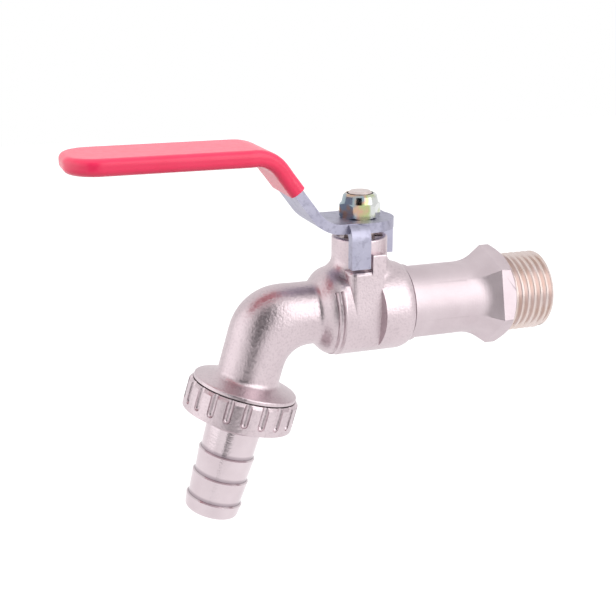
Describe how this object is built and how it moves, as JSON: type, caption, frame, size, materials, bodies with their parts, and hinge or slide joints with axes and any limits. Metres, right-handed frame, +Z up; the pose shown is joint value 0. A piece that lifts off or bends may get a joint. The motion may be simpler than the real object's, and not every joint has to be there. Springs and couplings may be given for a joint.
{
  "type": "garden ball valve",
  "caption": "Lever-operated ball valve tap with a male pipe inlet, a bent spout and a union nut that holds a barbed hose tail.",
  "frame": {"origin": "on the pipe axis, at the shoulder where the inlet thread begins", "axes": "+X along the pipe axis out of the inlet thread, +Z up along the stem; the lever points to -X when open"},
  "size_m": [0.1257, 0.0286, 0.0963],
  "materials": {
    "nickel_body": "satin nickel plate over a cast surface",
    "nickel_turned": "satin nickel plate over a turned surface",
    "zinc_lever": "blue-white zinc plate",
    "red_vinyl": "dipped vinyl, glossy",
    "zinc_nut": "zinc plate with a yellow-green tint",
    "brass_stem": "bare turned brass",
    "chromed_ball": "chrome plate, polished",
    "white_seal": "moulded seal plastic",
    "nylon_ring": "nylon",
    "black_rubber": "moulded rubber"
  },
  "bodies": {
    "base": {"valve_body": "nickel_body", "inlet_tail": "nickel_turned", "outlet_seat": "white_seal", "inlet_seat": "white_seal", "thrust_washer": "white_seal", "packing_ring": "white_seal", "gland_nut": "brass_stem"},
    "lever": {"lever_plate": "zinc_lever", "lever_grip": "red_vinyl", "lever_nut": "zinc_nut", "nut_insert": "nylon_ring", "stem": "brass_stem", "ball": "chromed_ball"},
    "hose_tail": {"hose_tail": "nickel_turned", "hose_washer": "black_rubber"},
    "union_nut": {"union_nut": "nickel_body"}
  },
  "joints": [
    {"name": "lever_turn", "type": "hinge", "parent": "base", "child": "lever", "pos_m": [-0.0405, 0, 0.024], "axis": [0, 0, -1], "range_deg": [0, 90]},
    {"name": "hose_tail_slide", "type": "slide", "parent": "base", "child": "hose_tail", "axis": [-0.289, 0, -0.9573], "range_m": [0, 0.00453]},
    {"name": "union_nut_turn", "type": "hinge", "parent": "hose_tail", "child": "union_nut", "pos_m": [-0.07236, 0, -0.02106], "axis": [-0.289, 0, -0.9573], "range_deg": [0, 900.5]}
  ],
  "couplings": [
    {"joint": "union_nut_turn", "follows": "hose_tail_slide", "rad_per_m": 3463.7}
  ]
}
